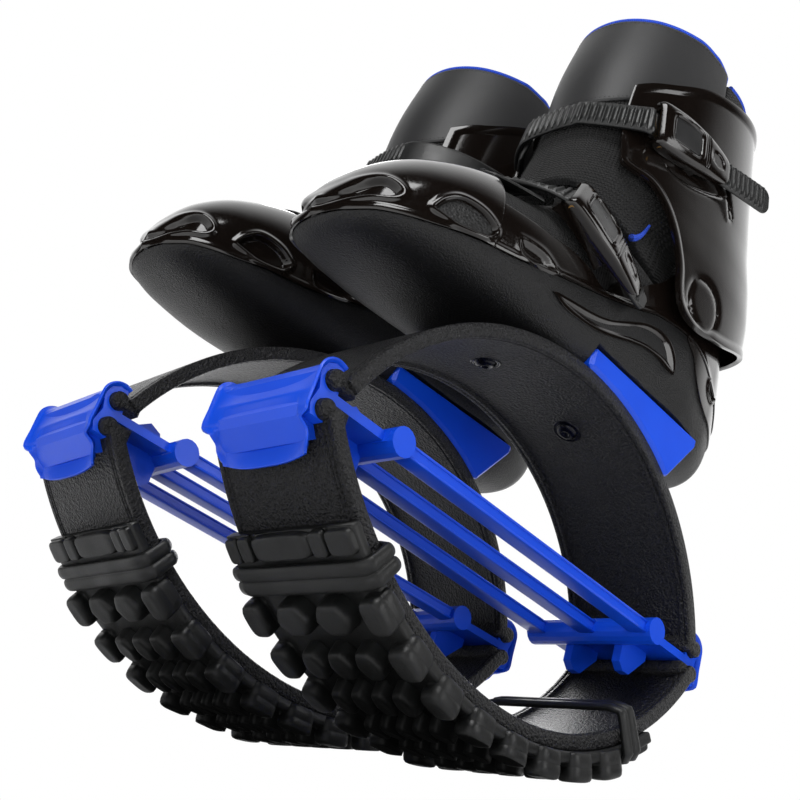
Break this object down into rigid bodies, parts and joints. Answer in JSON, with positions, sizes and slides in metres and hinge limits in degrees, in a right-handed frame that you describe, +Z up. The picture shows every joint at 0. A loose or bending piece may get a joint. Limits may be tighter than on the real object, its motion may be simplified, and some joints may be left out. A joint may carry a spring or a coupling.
{
  "type": "jumping shoes",
  "caption": "Pair of buckled boots on sprung rebound frames: bowed leaves above and below a tension spring, with a lugged rubber tread.",
  "frame": {"origin": "on the floor under the middle of the pair's bounding box", "axes": "+Z up from the floor, -Y towards the toes, +X towards the wearer's left; the left shoe stands at +X"},
  "size_m": [0.249, 0.3242, 0.4558],
  "materials": {
    "grained_black": "fine-grained black moulded plastic",
    "gloss_black": "polished black moulded plastic",
    "satin_black": "satin black plastic",
    "blue": "satin blue moulded plastic",
    "tread_rubber": "matt black rubber",
    "strap_rubber": "matt black strap rubber",
    "liner_knit": "black knitted fabric over foam",
    "tongue_leather": "black synthetic leather over foam",
    "bolt_steel": "blackened steel",
    "pin_brass": "plain brass"
  },
  "bodies": {
    "treads": {"left_lower_bow": "grained_black", "left_tread": "tread_rubber", "left_tread_band_front": "tread_rubber", "left_tread_band_rear": "tread_rubber", "right_lower_bow": "grained_black", "right_tread": "tread_rubber", "right_tread_band_front": "tread_rubber", "right_tread_band_rear": "tread_rubber"},
    "left_spring": {"left_tension_spring": "blue"},
    "left_boot": {"left_upper_bow": "grained_black", "left_saddle": "blue", "left_saddle_bolt_front": "bolt_steel", "left_saddle_bolt_rear": "bolt_steel", "left_sole_shell": "grained_black", "left_boot_shell": "gloss_black", "left_insole": "liner_knit", "left_liner_foot": "liner_knit", "left_instep_strap": "strap_rubber", "left_instep_plate": "strap_rubber", "left_instep_strap_rivet": "bolt_steel", "left_instep_buckle_base": "gloss_black", "left_instep_buckle_pin": "pin_brass", "left_cuff_rivet_outer": "satin_black", "left_cuff_rivet_inner": "satin_black"},
    "left_instep_lever": {"left_instep_buckle_lever": "gloss_black"},
    "left_cuff": {"left_cuff": "gloss_black", "left_liner_collar": "liner_knit", "left_tongue": "tongue_leather", "left_cuff_strap": "strap_rubber", "left_cuff_strap_pad": "strap_rubber", "left_cuff_strap_rivet": "bolt_steel", "left_cuff_buckle_base": "gloss_black", "left_cuff_buckle_pin": "pin_brass"},
    "left_cuff_lever": {"left_cuff_buckle_lever": "gloss_black"},
    "right_spring": {"right_tension_spring": "blue"},
    "right_boot": {"right_upper_bow": "grained_black", "right_saddle": "blue", "right_saddle_bolt_front": "bolt_steel", "right_saddle_bolt_rear": "bolt_steel", "right_sole_shell": "grained_black", "right_boot_shell": "gloss_black", "right_insole": "liner_knit", "right_liner_foot": "liner_knit", "right_instep_strap": "strap_rubber", "right_instep_plate": "strap_rubber", "right_instep_strap_rivet": "bolt_steel", "right_instep_buckle_base": "gloss_black", "right_instep_buckle_pin": "pin_brass", "right_cuff_rivet_outer": "satin_black", "right_cuff_rivet_inner": "satin_black"},
    "right_instep_lever": {"right_instep_buckle_lever": "gloss_black"},
    "right_cuff": {"right_cuff": "gloss_black", "right_liner_collar": "liner_knit", "right_tongue": "tongue_leather", "right_cuff_strap": "strap_rubber", "right_cuff_strap_pad": "strap_rubber", "right_cuff_strap_rivet": "bolt_steel", "right_cuff_buckle_base": "gloss_black", "right_cuff_buckle_pin": "pin_brass"},
    "right_cuff_lever": {"right_cuff_buckle_lever": "gloss_black"}
  },
  "joints": [
    {"name": "left_rebound", "type": "slide", "parent": "treads", "child": "left_boot", "axis": [0, 0, 1], "range_m": [-0.046, 0], "stiffness_N_per_m": 28000, "deforming": ["left_upper_bow", "left_lower_bow"]},
    {"name": "left_spring_follow", "type": "slide", "parent": "treads", "child": "left_spring", "axis": [0, 0, 1], "range_m": [-0.023, 0]},
    {"name": "left_cuff_tilt", "type": "hinge", "parent": "left_boot", "child": "left_cuff", "pos_m": [0.06007, 0.07636, 0.2768], "axis": [0.9994, 0.0349, 0], "range_deg": [0, 6]},
    {"name": "left_instep_lever_lift", "type": "hinge", "parent": "left_boot", "child": "left_instep_lever", "pos_m": [0.11238, -0.03188, 0.2713], "axis": [0.2763, -0.4374, -0.8558], "range_deg": [0, 75]},
    {"name": "left_cuff_lever_lift", "type": "hinge", "parent": "left_cuff", "child": "left_cuff_lever", "pos_m": [0.1143, 0.01322, 0.3568], "axis": [0.0165, 0.1321, -0.9911], "range_deg": [0, 75]},
    {"name": "right_rebound", "type": "slide", "parent": "treads", "child": "right_boot", "axis": [0, 0, 1], "range_m": [-0.046, 0], "stiffness_N_per_m": 28000, "deforming": ["right_upper_bow", "right_lower_bow"]},
    {"name": "right_spring_follow", "type": "slide", "parent": "treads", "child": "right_spring", "axis": [0, 0, 1], "range_m": [-0.023, 0]},
    {"name": "right_cuff_tilt", "type": "hinge", "parent": "right_boot", "child": "right_cuff", "pos_m": [-0.06007, 0.05436, 0.2768], "axis": [0.9994, -0.0349, 0], "range_deg": [0, 6]},
    {"name": "right_instep_lever_lift", "type": "hinge", "parent": "right_boot", "child": "right_instep_lever", "pos_m": [-0.11238, -0.05388, 0.2713], "axis": [0.2763, 0.4374, 0.8558], "range_deg": [0, 75]},
    {"name": "right_cuff_lever_lift", "type": "hinge", "parent": "right_cuff", "child": "right_cuff_lever", "pos_m": [-0.1143, -0.00878, 0.3568], "axis": [0.0165, -0.1321, 0.9911], "range_deg": [0, 75]}
  ],
  "couplings": [
    {"joint": "left_spring_follow", "follows": "left_rebound", "ratio": 0.5},
    {"joint": "right_spring_follow", "follows": "right_rebound", "ratio": 0.5}
  ]
}
